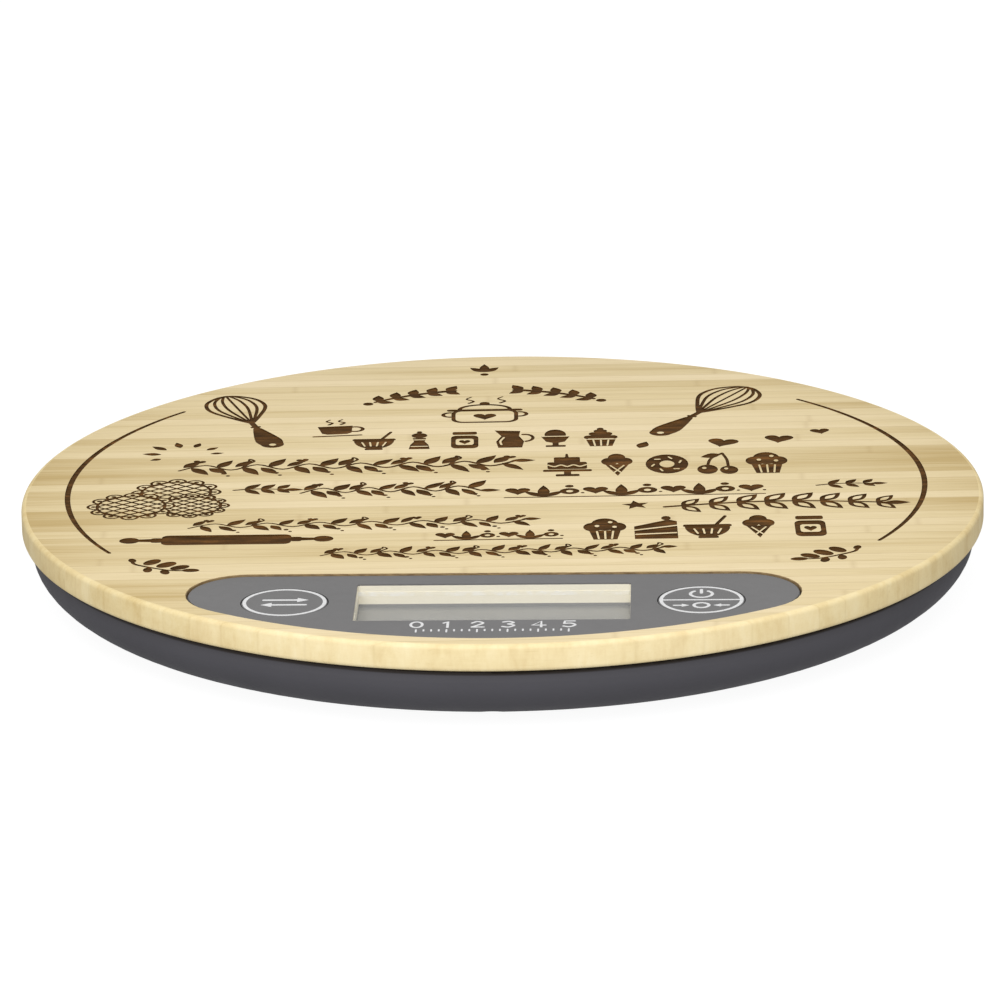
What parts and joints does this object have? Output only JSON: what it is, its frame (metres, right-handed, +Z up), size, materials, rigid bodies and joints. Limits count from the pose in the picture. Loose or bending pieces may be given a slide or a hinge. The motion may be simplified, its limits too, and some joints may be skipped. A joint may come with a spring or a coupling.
{
  "type": "kitchen scale",
  "caption": "Round electronic kitchen scale: an engraved bamboo weighing plate on a shallow dark plastic base, with an inset panel of display and round keys.",
  "frame": {"origin": "centre of the scale on the surface it stands on", "axes": "+Z up through the weighing plate, the display panel at the front towards -Y, +X to the user's right"},
  "size_m": [0.2, 0.2, 0.02],
  "materials": {
    "bamboo": "fine sanded, thin matt lacquer",
    "carrier_plastic": "moulded, matt",
    "base_plastic": "moulded, satin dark grey",
    "bezel_plastic": "moulded, satin mid grey",
    "overlay_film": "satin printed film",
    "key_plastic": "satin, printed ring and sign",
    "clear_lens": "clear acrylic",
    "lcd_cell": "passive grey-green display",
    "seal_foam": "soft white foam",
    "holder_plastic": "ivory white, slightly translucent",
    "reflector_film": "pearl white film",
    "contact_rubber": "translucent pink silicone",
    "board_laminate": "green solder mask",
    "chip_resin": "black potting resin",
    "chip_parts": "small surface-mount parts",
    "crystal_can": "drawn can",
    "screw_steel": "zinc plated",
    "cell_aluminium": "milled bar",
    "gauge_film": "amber polyimide film",
    "gauge_coat": "white silicone",
    "connector_plastic": "natural nylon",
    "wire_red": "vinyl insulation",
    "wire_black": "vinyl insulation",
    "wire_green": "vinyl insulation",
    "wire_white": "vinyl insulation",
    "coin_steel": "nickel plated",
    "contact_steel": "nickel plated spring strip",
    "switch_plastic": "black nylon",
    "stem_plastic": "brown nylon",
    "foot_rubber": "soft black rubber",
    "label_film": "silver film, blank"
  },
  "bodies": {
    "base": {"base_shell": "base_plastic", "front_left_foot": "foot_rubber", "front_right_foot": "foot_rubber", "rear_left_foot": "foot_rubber", "rear_right_foot": "foot_rubber", "load_cell": "cell_aluminium", "strain_gauges": "gauge_film", "gauge_terminal_coat": "gauge_coat", "load_cell_screws": "screw_steel", "display_bezel": "bezel_plastic", "panel_overlay": "overlay_film", "lcd_window": "clear_lens", "lcd_foam_seal": "seal_foam", "lcd_holder": "holder_plastic", "lcd_glass": "lcd_cell", "lcd_reflector": "reflector_film", "zebra_strips": "contact_rubber", "circuit_board": "board_laminate", "tact_switch_bodies": "switch_plastic", "unit_switch_dome": "contact_steel", "tare_switch_dome": "contact_steel", "chip_coat": "chip_resin", "board_parts": "chip_parts", "timing_crystal": "crystal_can", "board_screws": "screw_steel", "bezel_screws": "screw_steel", "load_cell_header": "connector_plastic", "load_cell_plug": "connector_plastic", "gauge_wire_red": "wire_red", "gauge_wire_black": "wire_black", "gauge_wire_green": "wire_green", "gauge_wire_white": "wire_white", "battery_wire_red": "wire_red", "battery_wire_black": "wire_black", "battery_cell": "coin_steel", "battery_positive_contact": "contact_steel", "battery_negative_contact": "contact_steel", "rating_label": "label_film"},
    "platform": {"bamboo_plate": "bamboo", "platform_carrier": "carrier_plastic", "plate_screws": "screw_steel", "carrier_screws": "screw_steel"},
    "unit_key": {"unit_key_cap": "key_plastic", "unit_switch_stem": "stem_plastic"},
    "tare_key": {"tare_key_cap": "key_plastic", "tare_switch_stem": "stem_plastic"},
    "battery_door": {"battery_cover": "base_plastic"}
  },
  "joints": [
    {"name": "platform_load", "type": "slide", "parent": "base", "child": "platform", "axis": [0, 0, 1], "range_m": [-0.0005, 0], "stiffness_N_per_m": 110000, "deforming": ["load_cell"]},
    {"name": "unit_key_press", "type": "slide", "parent": "base", "child": "unit_key", "axis": [0, 0, 1], "range_m": [-0.0004, 0], "stiffness_N_per_m": 5000, "deforming": ["unit_switch_dome"]},
    {"name": "tare_key_press", "type": "slide", "parent": "base", "child": "tare_key", "axis": [0, 0, 1], "range_m": [-0.0004, 0], "stiffness_N_per_m": 5000, "deforming": ["tare_switch_dome"]},
    {"name": "battery_cover_swing", "type": "hinge", "parent": "base", "child": "battery_door", "pos_m": [0, 0.06, 0.0025], "axis": [1, 0, 0], "range_deg": [0, 90]}
  ]
}
